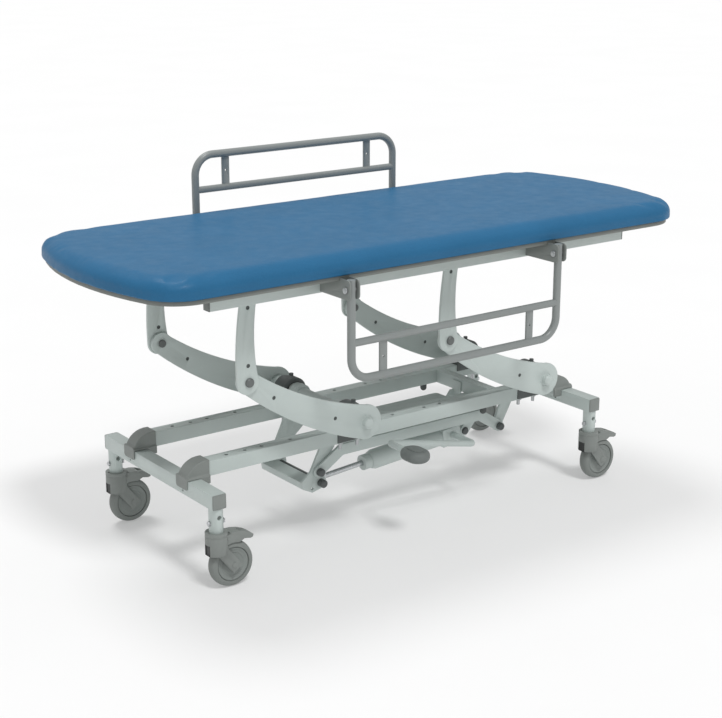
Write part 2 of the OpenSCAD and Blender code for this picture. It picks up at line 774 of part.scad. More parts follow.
module top_rail_caps() {
    color(plastic_grey) for (side = [front, rear], end = [-1, 1])
        plate(side, top_rail_y[0], top_rail_y[1])
            translate([top_rail_x + (end > 0 ? top_rail_half - 3 : -top_rail_half), top_rail_z])
                square([3, top_rail_h]);
}
module top_cross_tubes() {
    h = cross_tube_s / 2;
    z = deck_z - 7 - cross_tube_s;
    color(frame_white) for (x = cross_tube_x) difference() {
        span([x - h, -top_rail_y[0], z], [x + h, top_rail_y[0], z + cross_tube_s]);
        span([x - h + tube_wall, -top_rail_y[0] - 1, z + tube_wall],
             [x + h - tube_wall, top_rail_y[0] + 1, z + cross_tube_s - tube_wall]);
    }
}
module deck_board() {
    color(plastic_grey) translate([0, 0, deck_z]) linear_extrude(deck_t) polygon(couch_points(board_inset));
}
module pad() {
    steps = 6;
    color([0.28, 0.50, 0.66]) {
        translate([0, 0, deck_z + deck_t]) linear_extrude(pad_t - pad_edge_r) polygon(couch_points(0));
        for (i = [1:steps]) {
            a = 90 * i / steps;
            translate([0, 0, deck_z + deck_t])
                linear_extrude(pad_t - pad_edge_r + pad_edge_r * sin(a))
                    polygon(couch_points(pad_edge_r * (1 - cos(a - 45 / steps))));
        }
    }
}

module upper_pivot_pins() {
    color(plastic_grey) for (side = [front, rear], px = [pivot_lx, pivot_rx]) {
        side_bar(side, px + upper_dx, upper_z, arm_y[0] - 1, upright_y[1], upper_pin_r);
        side_bar(side, px + upper_dx, upper_z, arm_y[0] - 6, arm_y[0] - 0.4, 11);
        dome_cap(side, px + upper_dx, upper_z, upright_y[1], upright_y[1] + 8, 12.5);
    }
}

// ---------- side rails ----------

ear_t = 3.5;
ear_gap = 12.5;
ear_rise = 7;
ear_out = 397;
hinge_bolt_r = 5;

module ear_outline() {
    r = 13;
    low = side_z - 25;
    high = deck_z + ear_rise;
    step_y = couch_w / 2 - board_inset + 2;
    difference() {
        union() {
            translate([-step_y - 1, low]) square([step_y + 1 - hang_root_y, deck_z - low]);
            translate([-ear_out + r, low]) square([ear_out - r - step_y, high - low]);
            translate([-ear_out, low + r]) square([r, high - low - 2 * r]);
            for (z = [low + r, high - r]) translate([-ear_out + r, z]) circle(r = r);
        }
        translate([-side_y, side_z]) circle(r = hinge_bolt_r);
    }
}
module rail_bracket(side, x) {
    mirror([0, side > 0 ? 1 : 0, 0]) translate([x, 0, 0]) {
        for (s = [-1, 1]) translate([s > 0 ? ear_gap : -ear_gap - ear_t, 0, 0])
            rotate([90, 0, 90]) linear_extrude(ear_t) ear_outline();
        span([-ear_gap, -hang_root_y - ear_t, side_z - 25], [ear_gap, -hang_root_y, deck_z]);
    }
}
module rail_brackets() {
    color(rail_grey) for (side = [front, rear], x = [-side_half, side_half]) rail_bracket(side, x);
}
module rail_hinge_bolts() {
    out = ear_gap + ear_t;
    color(zinc) for (side = [front, rear], x = [-side_half, side_half])
    translate([x, side * side_y, side_z]) {
        x_bar(-out - 1, out + 6, 0, 0, hinge_bolt_r);
        x_bar(-out - 5, -out, 0, 0, 8.5);
        translate([out, 0, 0]) rotate([0, 90, 0]) hex_nut(9, 5);
    }
}

// the centre line of one bent side rail drawn upwards from its pivots, in the X-Y plane
module side_loop(r, end_y) {
    corner = side_h - side_bend;
    for (s = [-1, 1]) translate([s * side_half, corner, 0]) rotate([90, 0, 0])
        cylinder(r = r, h = corner - end_y);
    bend([side_half - side_bend, corner], 0, side_bend, r);
    bend([-side_half + side_bend, corner], 90, side_bend, r);
    translate([-side_half + side_bend, side_h, 0]) rotate([0, 90, 0])
        cylinder(r = r, h = 2 * (side_half - side_bend));
}
module side_rail() {
    flat_w = 24;
    flat_x = 255;
    mid_r = side_r - 1;
    color(rail_grey) difference() {
        union() {
            side_loop(side_r, -26);
            translate([-side_half, side_mid, 0]) rotate([0, 90, 0]) cylinder(r = mid_r, h = 2 * side_half);
            for (s = [-1, 1]) translate([s * flat_x - flat_w / 2, side_mid + mid_r - 1, -2.5])
                cube([flat_w, side_h - side_mid - side_r - mid_r + 2, 5]);
        }
        side_loop(side_r - 2, -23);
        translate([-side_half + side_r, side_mid, 0]) rotate([0, 90, 0])
            cylinder(r = mid_r - 2, h = 2 * (side_half - side_r));
        for (s = [-1, 1]) translate([s * side_half - side_r - 1, 0, 0]) rotate([0, 90, 0])
            cylinder(r = hinge_bolt_r + fit, h = 2 * side_r + 2);
        for (s = [-1, 1]) translate([s * flat_x, (side_h + side_mid) / 2, -3]) cylinder(r = 3, h = 6);
    }
}
module side_rail_front() translate([0, -side_y, side_z]) rotate([-90, 0, 0]) side_rail();
module side_rail_rear() translate([0, side_y, side_z]) rotate([90, 0, 0]) side_rail();

// ---------- hydraulic pump and foot lever ----------

// local -X points from the rear pivot of the ram to the drive pin
module ram_frame() {
    translate([ram_x, ram_y, ram_z]) rotate([0, -ram_tilt, 0]) children();
}
module along_ram(from, to, r) {
    rotate([0, -90, 0]) translate([0, 0, from]) cylinder(r = r, h = to - from);
}
module ram_cylinder() {
    color(frame_white) ram_frame() difference() {
        union() {
            along_ram(body_from, body_to, ram_r);
            rotate([0, -90, 0]) translate([0, 0, body_to])
                cylinder(r1 = ram_r, r2 = gland_r + 1, h = gland_from - body_to);
        }
        along_ram(body_from + 12, gland_from + 1, bore_r);
    }
}
module ram_gland() {
    color(frame_white) ram_frame() difference() {
        union() {
            along_ram(gland_from, gland_to, gland_r);
            along_ram(gland_from - 20, gland_from, bore_r);
        }
        along_ram(gland_from - 21, gland_to + 1, rod_r + fit);
    }
}
module ram_rod() {
    color(zinc) ram_frame() {
        along_ram(rod_from, rod_to, rod_r);
        along_ram(rod_from - 10, rod_from, bore_r - fit);
        span([-rod_to - thrust_t, -14, -26], [-rod_to, 14, 26]);
    }
}
module pump_block() {
    color(frame_white) {
        difference() {
            ram_frame() union() {
                span([-body_from, -30, -27], [-24, 44, 27]);
                span([-25, -10, -15], [0, 10, 15]);
                y_bar(0, 0, -10, 10, 15);
                translate([-70, 20, 27]) cylinder(r = 11, h = 8);
            }
            ram_frame() y_bar(0, 0, -11, 11, link_pin_r + fit);
            y_bar(shaft_x, shaft_z, ram_y - 31, ram_y - 8, lever_r + fit);
        }
    }
}
module foot_frame() {
    translate([shaft_x, 0, shaft_z]) rotate([0, lever_tilt, 0]) children();
}
module foot_lever() {
    color(frame_white) foot_frame() {
        y_bar(0, 0, -lever_out + lever_bend, ram_y - 10, lever_r);
        bend([-lever_bend, -lever_out + lever_bend], -90, lever_bend, lever_r);
        x_bar(-lever_len + lever_bend, -lever_bend, -lever_out, 0, lever_r);
        bend([-lever_len + lever_bend, -lever_out - lever_bend], 90, lever_bend, lever_r);
        y_bar(-lever_len, 0, -foot_out, -lever_out - lever_bend, lever_r);
    }
}
// half of the foot pad's cross-section: flat in the middle with a fully rounded edge
module pebble_half(w, h, r) {
    translate([0, -h]) square([w - r, 2 * h]);
    translate([0, r - h]) square([w, 2 * (h - r)]);
    for (z = [r - h, h - r]) translate([w - r, z]) circle(r = r);
}
module pebble(w, h, r, y0, y1) {
    for (y = [y0, y1]) translate([0, y, 0]) rotate_extrude() intersection() {
        pebble_half(w, h, r);
        translate([0, -h]) square([w, 2 * h]);
    }
    translate([0, y1, 0]) rotate([90, 0, 0]) linear_extrude(y1 - y0)
        for (m = [0, 1]) mirror([m, 0]) pebble_half(w, h, r);
}
module foot_pad() {
    pad_y = [-foot_out - 14, -foot_out + 8];
    tread_r = 17;
    color(rubber_grey) foot_frame() difference() {
        translate([-lever_len, 0, 0]) rotate([0, -lever_tilt, 0]) union() {
            pebble(34, 16, 14, pad_y[0], pad_y[1]);
            for (y = pad_y) translate([0, y, 15]) cylinder(r = tread_r, h = 3);
            span([-tread_r, pad_y[0], 15], [tread_r, pad_y[1], 18]);
        }
        y_bar(-lever_len, 0, -foot_out, -foot_out + 60, lever_r);
    }
}

cross_member_left();
cross_member_right();
base_rail_front();
base_rail_rear();
cross_beam();
rail_end_covers();
frame_end_caps();
bearing_blocks();
bearing_bushes();
base_bolts();
bumpers();
pump_tray();
pump_bracket();
ram_rear_pin();
castor_heads();
castor_fork_left_front();
castor_fork_left_rear();
castor_fork_right_front();
castor_fork_right_rear();
castor_wheel_left_front();
castor_wheel_left_rear();
castor_wheel_right_front();
castor_wheel_right_rear();
castor_axle_left_front();
castor_axle_left_rear();
castor_axle_right_front();
castor_axle_right_rear();
castor_pedal_left_front();
castor_pedal_left_rear();
castor_pedal_right_front();
castor_pedal_right_rear();
torsion_tube_left();
torsion_tube_right();
arm_left_front();
arm_left_rear();
arm_right_front();
arm_right_rear();
drive_lever();
lever_right();
lever_pins_left();
link_pin_right();
sync_bar();
uprights();
top_rail_front();
top_rail_rear();
top_rail_caps();
top_cross_tubes();
deck_board();
pad();
upper_pivot_pins();
rail_brackets();
rail_hinge_bolts();
side_rail_front();
side_rail_rear();
ram_cylinder();
ram_gland();
ram_rod();
pump_block();
foot_lever();
foot_pad();
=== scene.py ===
import math

import bmesh
import bpy
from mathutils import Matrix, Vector, noise


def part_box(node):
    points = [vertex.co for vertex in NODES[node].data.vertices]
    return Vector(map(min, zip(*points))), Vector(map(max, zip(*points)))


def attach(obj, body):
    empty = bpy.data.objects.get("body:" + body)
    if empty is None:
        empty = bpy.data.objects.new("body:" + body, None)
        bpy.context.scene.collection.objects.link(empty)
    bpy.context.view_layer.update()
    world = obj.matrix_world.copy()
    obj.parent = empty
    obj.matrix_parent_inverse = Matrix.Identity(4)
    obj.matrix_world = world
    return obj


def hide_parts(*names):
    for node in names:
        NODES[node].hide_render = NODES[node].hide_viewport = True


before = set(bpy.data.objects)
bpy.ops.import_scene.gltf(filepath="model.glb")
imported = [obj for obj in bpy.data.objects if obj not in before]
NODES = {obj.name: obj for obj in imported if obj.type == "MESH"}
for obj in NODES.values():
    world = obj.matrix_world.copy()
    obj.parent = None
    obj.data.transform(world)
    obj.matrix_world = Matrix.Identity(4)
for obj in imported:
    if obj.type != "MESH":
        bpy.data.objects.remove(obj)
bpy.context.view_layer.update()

MM = 0.001
ENDS = ("left", "right")
SIDES = ("front", "rear")
CASTORS = [f"{end}_{side}" for end in ENDS for side in SIDES]

# The padded top, in metres: plan corners, how far each end bows out, and the cushion's edges.
CORNER_R = 0.121
END_BOW = 0.074
TOP_EDGE_R = 0.031
FOOT_EDGE_R = 0.011
FOOT_TUCK = 0.0045

# Sockets of a colour Mix node, whose names are shared with its other data types.
MIX_FIRST, MIX_SECOND, MIX_RESULT = 6, 7, 2


# ---------- camera, floor and light ----------

def make_camera():
    """The photograph's view: a long lens, a little above the top, looking from the left front."""
    azimuth, elevation, distance = math.radians(36.42), math.radians(16.57), 4.459
    target = Vector((-0.0457, 0.0, 0.437))
    back = Vector((-math.sin(azimuth) * math.cos(elevation), -math.cos(azimuth) * math.cos(elevation),
                   math.sin(elevation)))
    data = bpy.data.cameras.new("camera")
    data.lens = 77.0
    data.sensor_width = 36.0
    camera = bpy.data.objects.new("camera", data)
    camera.location = target + back * distance
    camera.rotation_mode = "QUATERNION"
    camera.rotation_quaternion = (-back).to_track_quat("-Z", "Y")
    bpy.context.scene.collection.objects.link(camera)
    bpy.context.scene.camera = camera


def distant_light(name, towards, power, width):
    """A distant light that shines from the direction towards and looks width degrees wide."""
    data = bpy.data.lights.new(name, "SUN")
    data.energy = power
    data.angle = math.radians(width)
    light = bpy.data.objects.new(name, data)
    light.rotation_mode = "QUATERNION"
    light.rotation_quaternion = (-Vector(towards)).to_track_quat("-Z", "Y")
    bpy.context.scene.collection.objects.link(light)


def make_studio():
    """Even white surroundings with one soft light high at the back and one high at the front."""
    world = bpy.data.worlds.new("studio")
    bpy.context.scene.world = world
    world.use_nodes = True
    background = world.node_tree.nodes["Background"]
    background.inputs["Color"].default_value = (1, 1, 1, 1)
    background.inputs["Strength"].default_value = 0.52
    bpy.context.scene.view_settings.view_transform = "Standard"
    distant_light("back_light", (0.005, 0.445, 1), 1.05, 22)
    distant_light("front_light", (-0.04, -0.55, 1), 1.35, 12)
    reach = 60.0
    floor_mesh = bpy.data.meshes.new("floor")
    corners = [(-reach, -reach, 0), (reach, -reach, 0), (reach, reach, 0), (-reach, reach, 0)]
    floor_mesh.from_pydata(corners, [], [(0, 1, 2, 3)])
    floor = bpy.data.objects.new("floor", floor_mesh)
    bpy.context.scene.collection.objects.link(floor)
    floor_mesh.materials.append(floor_material())


# ---------- materials ----------

def srgb(r, g, b):
    """A colour given as 8-bit sRGB, turned linear."""
    def linear(v):
        v /= 255
        return v / 12.92 if v <= 0.04045 else ((v + 0.055) / 1.055) ** 2.4
    return (linear(r), linear(g), linear(b), 1)


def shade(colour, factor):
    """The same colour, lighter or darker by a factor."""
    return tuple(min(1.0, c * factor) for c in colour[:3]) + (1,)


class Shader:
    """A Principled shader with helpers for the few procedural building blocks used here."""

    def __init__(self, name, roughness, metallic=0.0, specular=0.5):
        self.material = bpy.data.materials.new(name)
        self.material.use_nodes = True
        self.tree = self.material.node_tree
        self.bsdf = self.tree.nodes["Principled BSDF"]
        self.bsdf.inputs["Roughness"].default_value = roughness
        self.bsdf.inputs["Metallic"].default_value = metallic
        self.bsdf.inputs["Specular IOR Level"].default_value = specular
        self.place = self.tree.nodes.new("ShaderNodeTexCoord").outputs["Object"]
        self.normal = None

    def node(self, kind, **settings):
        made = self.tree.nodes.new(kind)
        for key, value in settings.items():
            setattr(made, key, value)
        return made

    def join(self, output, target):
        self.tree.links.new(output, target)

    def stretched(self, scale):
        """Object coordinates scaled by a different factor along each axis."""
        mapping = self.node("ShaderNodeMapping")
        mapping.inputs["Scale"].default_value = scale
        self.join(self.place, mapping.inputs["Vector"])
        return mapping.outputs["Vector"]

    def noise(self, scale, detail=3.0, rough=0.5, where=None):
        made = self.node("ShaderNodeTexNoise")
        made.inputs["Scale"].default_value = scale
        made.inputs["Detail"].default_value = detail
        made.inputs["Roughness"].default_value = rough
        self.join(where or self.place, made.inputs["Vector"])
        return made.outputs["Fac"]

    def cells(self, scale, where=None, feature="F1"):
        made = self.node("ShaderNodeTexVoronoi", feature=feature)
        made.inputs["Scale"].default_value = scale
        self.join(where or self.place, made.inputs["Vector"])
        return made.outputs["Distance"]

    def ramp(self, value, low, high, colour_low, colour_high):
        made = self.node("ShaderNodeValToRGB")
        made.color_ramp.elements[0].position = low
        made.color_ramp.elements[1].position = high
        made.color_ramp.elements[0].color = colour_low
        made.color_ramp.elements[1].color = colour_high
        self.join(value, made.inputs["Fac"])
        return made.outputs["Color"]

    def remap(self, value, low, high, to_low, to_high):
        made = self.node("ShaderNodeMapRange")
        for key, number in zip(("From Min", "From Max", "To Min", "To Max"), (low, high, to_low, to_high)):
            made.inputs[key].default_value = number
        self.join(value, made.inputs["Value"])
        return made.outputs["Result"]

    def mix(self, factor, first, second, blend="MIX"):
        made = self.node("ShaderNodeMix", data_type="RGBA", blend_type=blend)
        if isinstance(factor, float):
            made.inputs["Factor"].default_value = factor
        else:
            self.join(factor, made.inputs["Factor"])
        for item, socket in ((first, made.inputs[MIX_FIRST]), (second, made.inputs[MIX_SECOND])):
            if isinstance(item, tuple):
                socket.default_value = item
            else:
                self.join(item, socket)
        return made.outputs[MIX_RESULT]

    def math(self, operation, first, second=0.0):
        made = self.node("ShaderNodeMath", operation=operation)
        for item, socket in ((first, made.inputs[0]), (second, made.inputs[1])):
            if isinstance(item, (int, float)):
                socket.default_value = item
            else:
                self.join(item, socket)
        return made.outputs[0]

    def bump(self, height, strength, distance):
        made = self.node("ShaderNodeBump")
        made.inputs["Strength"].default_value = strength
        made.inputs["Distance"].default_value = distance
        self.join(height, made.inputs["Height"])
        if self.normal:
            self.join(self.normal, made.inputs["Normal"])
        self.normal = made.outputs["Normal"]
        self.join(self.normal, self.bsdf.inputs["Normal"])

    def colour(self, output):
        if isinstance(output, tuple):
            self.bsdf.inputs["Base Color"].default_value = output
        else:
            self.join(output, self.bsdf.inputs["Base Color"])

    def roughness(self, output):
        self.join(output, self.bsdf.inputs["Roughness"])


def floor_material():
    """White studio floor. It glows a little, so that only a soft shadow falls below white."""
    s = Shader("studio_floor", 1.0, specular=0.0)
    s.colour(s.ramp(s.noise(1.5, 2.0), 0.3, 0.7, (0.600, 0.600, 0.600, 1), (0.610, 0.610, 0.610, 1)))
    s.bsdf.inputs["Emission Color"].default_value = (1, 1, 1, 1)
    s.bsdf.inputs["Emission Strength"].default_value = 0.27
    return s.material


def powder_coat(name, colour, roughness=0.42):
    """Baked powder paint: faint orange peel, slight tone drift, a little polish where hands touch it."""
    s = Shader(name, roughness, specular=0.5)
    drift = s.noise(7.0, 3.0)
    speck = s.noise(900.0, 2.0)
    base = s.ramp(drift, 0.3, 0.7, shade(colour, 0.965), shade(colour, 1.03))
    s.colour(s.mix(s.remap(speck, 0.35, 0.65, 0.0, 0.06), base, shade(colour, 0.8)))
    s.roughness(s.remap(s.noise(40.0, 4.0), 0.3, 0.7, roughness - 0.06, roughness + 0.07))
    s.bump(s.noise(420.0, 2.0), 0.10, 0.0004)
    s.bump(s.noise(1600.0, 1.0), 0.06, 0.0002)
    return s.material


def moulded_plastic(name, colour, roughness=0.5, grain=700.0):
    """Injection-moulded plastic with a fine spark-eroded grain."""
    s = Shader(name, roughness, specular=0.45)
    s.colour(s.ramp(s.noise(16.0, 4.0), 0.25, 0.75, shade(colour, 0.93), shade(colour, 1.06)))
    s.roughness(s.remap(s.noise(60.0, 3.0), 0.3, 0.7, roughness - 0.07, roughness + 0.08))
    s.bump(s.cells(grain), 0.16, 0.0003)
    return s.material


def plated_steel(name, colour, roughness=0.32, marks=0.06):
    """Zinc or dark plating over turned steel, with fine rings of tool marks across the length."""
    s = Shader(name, roughness, metallic=1.0)
    s.colour(s.ramp(s.noise(60.0, 4.0), 0.3, 0.7, shade(colour, 0.92), shade(colour, 1.05)))
    s.roughness(s.remap(s.noise(220.0, 3.0), 0.3, 0.7, roughness - 0.05, roughness + 0.08))
    s.bump(s.noise(1.0, 2.0, where=s.stretched((300, 2600, 300))), marks, 0.0001)
    return s.material


def vinyl_material():
    """Blue upholstery vinyl: pebbled leather grain with creases darkened by painted shade, soft tone clouds
    and a satin surface.
    """
    colour = srgb(46, 106, 147)
    s = Shader("blue_vinyl", 0.42, specular=0.12)
    cloud = s.ramp(s.noise(8.0, 5.0, 0.6), 0.3, 0.7, shade(colour, 0.95), shade(colour, 1.05))
    fleck = s.remap(s.noise(190.0, 4.0, 0.7), 0.40, 0.66, 0.0, 0.32)
    # Painted shade: the crease lines between the grain's pebbles are darkened in the colour.
    crease_shade = s.remap(s.cells(560.0, feature="DISTANCE_TO_EDGE"), 0.0, 0.10, 0.34, 0.0)
    toned = s.mix(fleck, cloud, shade(colour, 0.80))
    s.colour(s.mix(crease_shade, toned, shade(colour, 0.58)))
    s.roughness(s.remap(s.noise(30.0, 3.0), 0.3, 0.7, 0.37, 0.47))
    s.bsdf.inputs["Coat Weight"].default_value = 0.03
    s.bsdf.inputs["Coat Roughness"].default_value = 0.12
    s.bump(s.noise(110.0, 4.0, 0.6), 0.22, 0.0009)
    s.bump(s.cells(560.0, feature="DISTANCE_TO_EDGE"), 0.30, 0.0004)
    return s.material


def board_material():
    """Grey laminate on the deck board, with a faint long grain."""
    colour = srgb(120, 124, 120)
    s = Shader("grey_laminate", 0.55)
    streak = s.noise(1.0, 5.0, where=s.stretched((6, 90, 240)))
    s.colour(s.ramp(streak, 0.3, 0.7, shade(colour, 0.9), shade(colour, 1.06)))
    s.bump(streak, 0.1, 0.0004)
    return s.material


def radial_distance(s, centre):
    """Distance from an axis along Y through centre, in object coordinates."""
    offset = s.node("ShaderNodeVectorMath", operation="SUBTRACT")
    s.join(s.place, offset.inputs[0])
    offset.inputs[1].default_value = centre
    flat = s.node("ShaderNodeVectorMath", operation="MULTIPLY")
    s.join(offset.outputs[0], flat.inputs[0])
    flat.inputs[1].default_value = (1, 0, 1)
    length = s.node("ShaderNodeVectorMath", operation="LENGTH")
    s.join(flat.outputs[0], length.inputs[0])
    return length.outputs["Value"]


def wheel_material(tag):
    """A castor wheel: soft tread, hard hub, a fine dark line between them and a moulded ring in the hub."""
    low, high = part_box(f"castor_wheel_{tag}")
    centre = (low + high) / 2
    radius = (high.z - low.z) / 2
    s = Shader(f"castor_wheel_{tag}", 0.55, specular=0.35)
    tread, hub = srgb(131, 136, 133), srgb(137, 143, 140)
    far = radial_distance(s, centre)

    def ring(at, half):
        off = s.math("ABSOLUTE", s.math("SUBTRACT", far, radius * at))
        return s.remap(off, radius * half * 0.5, radius * half, 1.0, 0.0)

    joint, rib = ring(0.73, 0.022), ring(0.52, 0.03)
    in_tyre = s.remap(far, radius * 0.725, radius * 0.735, 0.0, 1.0)
    scuff = s.remap(far, radius * 0.93, radius, 0.0, 0.25)
    worn = s.mix(s.math("MULTIPLY", scuff, s.noise(160.0, 4.0)), tread, shade(tread, 0.6))
    clean = s.ramp(s.noise(25.0, 3.0), 0.3, 0.7, shade(hub, 0.95), shade(hub, 1.04))
    s.colour(s.mix(s.math("MULTIPLY", joint, 0.4), s.mix(in_tyre, clean, worn), shade(tread, 0.25)))
    s.roughness(s.remap(in_tyre, 0.0, 1.0, 0.42, 0.62))
    s.bump(s.noise(500.0, 2.0), 0.10, 0.0003)
    s.bump(s.math("SUBTRACT", rib, joint), 0.6, 0.0012)
    return s.material


def dress(material, *names):
    """Gives CAD nodes a material."""
    for name in names:
        mesh = NODES[name].data
        mesh.materials.clear()
        mesh.materials.append(material)


def named(*starts):
    """CAD nodes whose names begin with one of starts."""
    return [n for n in sorted(NODES) if n.startswith(starts)]


def dress_frame():
    """Paint, plastic, rubber and plating for every CAD node but the pad."""
    paint = powder_coat("pale_grey_paint", srgb(192, 202, 199))
    dress(paint, *named("cross_", "base_rail", "arm_", "torsion_tube", "lever_right", "drive_lever",
                        "sync_bar", "uprights", "top_cross_tubes", "top_rail_front", "top_rail_rear",
                        "pump_bracket", "pump_tray", "ram_cylinder", "ram_gland", "pump_block", "foot_lever"))
    dress(powder_coat("side_rail_paint", srgb(138, 143, 142), 0.36), *named("side_rail"))
    dress(powder_coat("bracket_paint", srgb(130, 135, 132), 0.4), "rail_brackets")
    dress(moulded_plastic("grey_plastic", srgb(133, 138, 135)),
          *named("rail_end", "frame_end", "castor_heads", "castor_fork", "castor_pedal", "castor_axle"))
    # The rail caps' darker grey is painted shade, taken from their end faces, which lie in shadow.
    dress(moulded_plastic("rail_cap_painted_shade", srgb(112, 117, 115)), "top_rail_caps")
    dress(moulded_plastic("dark_plastic", srgb(88, 93, 92)), "bearing_blocks")
    dress(moulded_plastic("white_nylon", srgb(225, 228, 224), 0.35), "bearing_bushes")
    dress(moulded_plastic("dark_pin_caps", srgb(84, 88, 88), 0.4), "lever_pins_left", "link_pin_right",
          "ram_rear_pin")
    dress(moulded_plastic("grey_pin_caps", srgb(104, 108, 107), 0.4), "upper_pivot_pins")
    dress(plated_steel("zinc_plating", srgb(190, 192, 194), 0.34), "base_bolts", "rail_hinge_bolts")
    dress(plated_steel("chromed_rod", srgb(200, 203, 205), 0.2, 0.02), "ram_rod")
    dress(moulded_plastic("dark_rubber", srgb(84, 88, 87), 0.7, 1400.0), "bumpers")
    dress(moulded_plastic("pedal_rubber", srgb(112, 118, 116), 0.55, 1400.0), "foot_pad")
    dress(board_material(), "deck_board")
    for tag in CASTORS:
        dress(wheel_material(tag), f"castor_wheel_{tag}")


# ---------- CAD nodes: softened edges ----------

def weld(piece):
    """Joins the doubled corners of an imported mesh, so that the next modifiers see one surface."""
    joined = piece.modifiers.new("weld", "WELD")
    joined.merge_threshold = 0.00002


def soften(name, width):
    """Rounds a CAD node's sharp edges with modifiers, so that they catch the light."""
    piece = NODES[name]
    weld(piece)
    flat = piece.modifiers.new("flat", "DECIMATE")
    flat.decimate_type = "DISSOLVE"
    flat.angle_limit = math.radians(0.5)
    edge = piece.modifiers.new("edge", "BEVEL")
    edge.width = width
    edge.segments = 2
    edge.limit_method = "ANGLE"
    edge.angle_limit = math.radians(38)
    edge.harden_normals = True
    edge.miter_outer = "MITER_ARC"
    piece.data.polygons.foreach_set("use_smooth", [True] * len(piece.data.polygons))


def mould(name, voxel, rounds):
    """Blends a moulded CAD node's creases into smooth fillets with modifiers."""
    piece = NODES[name]
    weld(piece)
    skin = piece.modifiers.new("skin", "REMESH")
    skin.mode = "VOXEL"
    skin.voxel_size = voxel
    skin.use_smooth_shade = True
    blend = piece.modifiers.new("blend", "SMOOTH")
    blend.factor = 0.5
    blend.iterations = rounds


def soften_frame():
    """Edge widths in millimetres: wider on tube and mouldings, finer on thin plates and small parts."""
    groups = ((2.4, ("frame_end_caps",)),
              (1.6, ("top_rail_front", "top_rail_rear", "base_rail_front", "base_rail_rear")),
              (1.5, ("bearing_blocks", "deck_board")),
              (1.4, ("cross_member_left", "cross_member_right")),
              (0.8, ("side_rail_front", "side_rail_rear")))
    widths = {name: width for width, names in groups for name in names}
    mould("rail_end_covers", 1.4 * MM, 9)
    for name in sorted(NODES):
        if name not in ("pad", "rail_end_covers"):
            soften(name, widths.get(name, 0.9) * MM)


# ---------- the padded top ----------

def outline(inset):
    """The rounded plan of the top, moved in by inset: long sides, corner arcs and bowed ends."""
    low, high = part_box("pad")
    half_l, half_w = (high.x - low.x) / 2, (high.y - low.y) / 2
    bow_r = (half_w ** 2 + END_BOW ** 2) / (2 * END_BOW)
    bow_x = half_l - bow_r
    corner_y = half_w - CORNER_R
    corner_x = bow_x + math.sqrt((bow_r - CORNER_R) ** 2 - corner_y ** 2)
    tilt = math.asin(corner_y / (bow_r - CORNER_R))

    def arc(cx, cy, radius, start, end, steps):
        return [(cx + radius * math.cos(start + (end - start) * i / steps),
                 cy + radius * math.sin(start + (end - start) * i / steps)) for i in range(steps + 1)]

    right = arc(corner_x, corner_y, CORNER_R - inset, math.pi / 2, tilt, 18)
    right += arc(bow_x, 0, bow_r - inset, tilt, -tilt, 24)[1:-1]
    right += arc(corner_x, -corner_y, CORNER_R - inset, -tilt, -math.pi / 2, 18)
    return right + [(-x, -y) for x, y in right]


def pad_block(shrink):
    """The foam block before its cover is stuffed: a big round top edge and a tucked bottom edge."""
    low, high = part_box("pad")
    height = high.z - low.z - shrink
    base_inset, base_top = 0.016, 0.004
    foot_steps, top_steps = 4, 10
    rings = [(base_inset, 0.0)]
    for i in range(foot_steps + 1):
        a = math.pi / 2 * i / foot_steps
        rings.append((FOOT_TUCK + FOOT_EDGE_R * (1 - math.sin(a)) * 0.5, FOOT_EDGE_R * (1 - math.cos(a))))
    for z in (0.015, 0.019):
        rings.append((FOOT_TUCK * (height - TOP_EDGE_R - z) / height, z))
    for i in range(top_steps + 1):
        a = math.pi / 2 * i / top_steps
        rings.append((TOP_EDGE_R * (1 - math.cos(a)), height - TOP_EDGE_R + TOP_EDGE_R * math.sin(a)))
    mesh = bmesh.new()
    loops = []
    for inset, z in rings:
        side = shrink if z > base_top else 0.0
        loops.append([mesh.verts.new((x, y, low.z + z)) for x, y in outline(inset + side)])
    for lower, upper in zip(loops, loops[1:]):
        for i in range(len(lower)):
            j = (i + 1) % len(lower)
            mesh.faces.new((lower[i], lower[j], upper[j], upper[i]))
    mesh.faces.new(loops[-1])
    mesh.faces.new(list(reversed(loops[0])))
    bmesh.ops.recalc_face_normals(mesh, faces=mesh.faces)
    data = bpy.data.meshes.new("pad_cushion")
    mesh.to_mesh(data)
    mesh.free()
    made = bpy.data.objects.new("pad_cushion", data)
    bpy.context.scene.collection.objects.link(made)
    return made


def apply_modifiers(piece):
    """Replaces a piece's mesh with what its modifiers make of it."""
    graph = bpy.context.evaluated_depsgraph_get()
    done = bpy.data.meshes.new_from_object(piece.evaluated_get(graph))
    piece.modifiers.clear()
    piece.data = done


def remesh(piece, voxel):
    """Gives a piece an even mesh that cloth can move."""
    modifier = piece.modifiers.new("voxels", "REMESH")
    modifier.mode = "VOXEL"
    modifier.voxel_size = voxel
    apply_modifiers(piece)


def inflate(piece, held_below, cap):
    """Blows the cover up with a short cloth simulation. Its bottom is held, and no point moves past cap."""
    start = [v.co.copy() for v in piece.data.vertices]
    pins = piece.vertex_groups.new(name="held")
    pins.add([v.index for v in piece.data.vertices if v.co.z < held_below], 1.0, "REPLACE")
    cloth = piece.modifiers.new("cloth", "CLOTH")
    settings = cloth.settings
    settings.quality = 4
    settings.mass = 0.4
    settings.tension_stiffness = 25
    settings.compression_stiffness = 25
    settings.shear_stiffness = 12
    settings.bending_stiffness = 2.0
    settings.use_pressure = True
    settings.uniform_pressure_force = 4.0
    settings.vertex_group_mass = "held"
    settings.effector_weights.gravity = 0.0
    cloth.collision_settings.use_collision = False
    cloth.collision_settings.use_self_collision = False
    scene = bpy.context.scene
    last_frame = 20
    for step in range(1, last_frame + 1):
        scene.frame_set(step)
    apply_modifiers(piece)
    scene.frame_set(1)
    for vertex, was in zip(piece.data.vertices, start):
        move = vertex.co - was
        if move.length > cap:
            vertex.co = was + move * (cap / move.length)


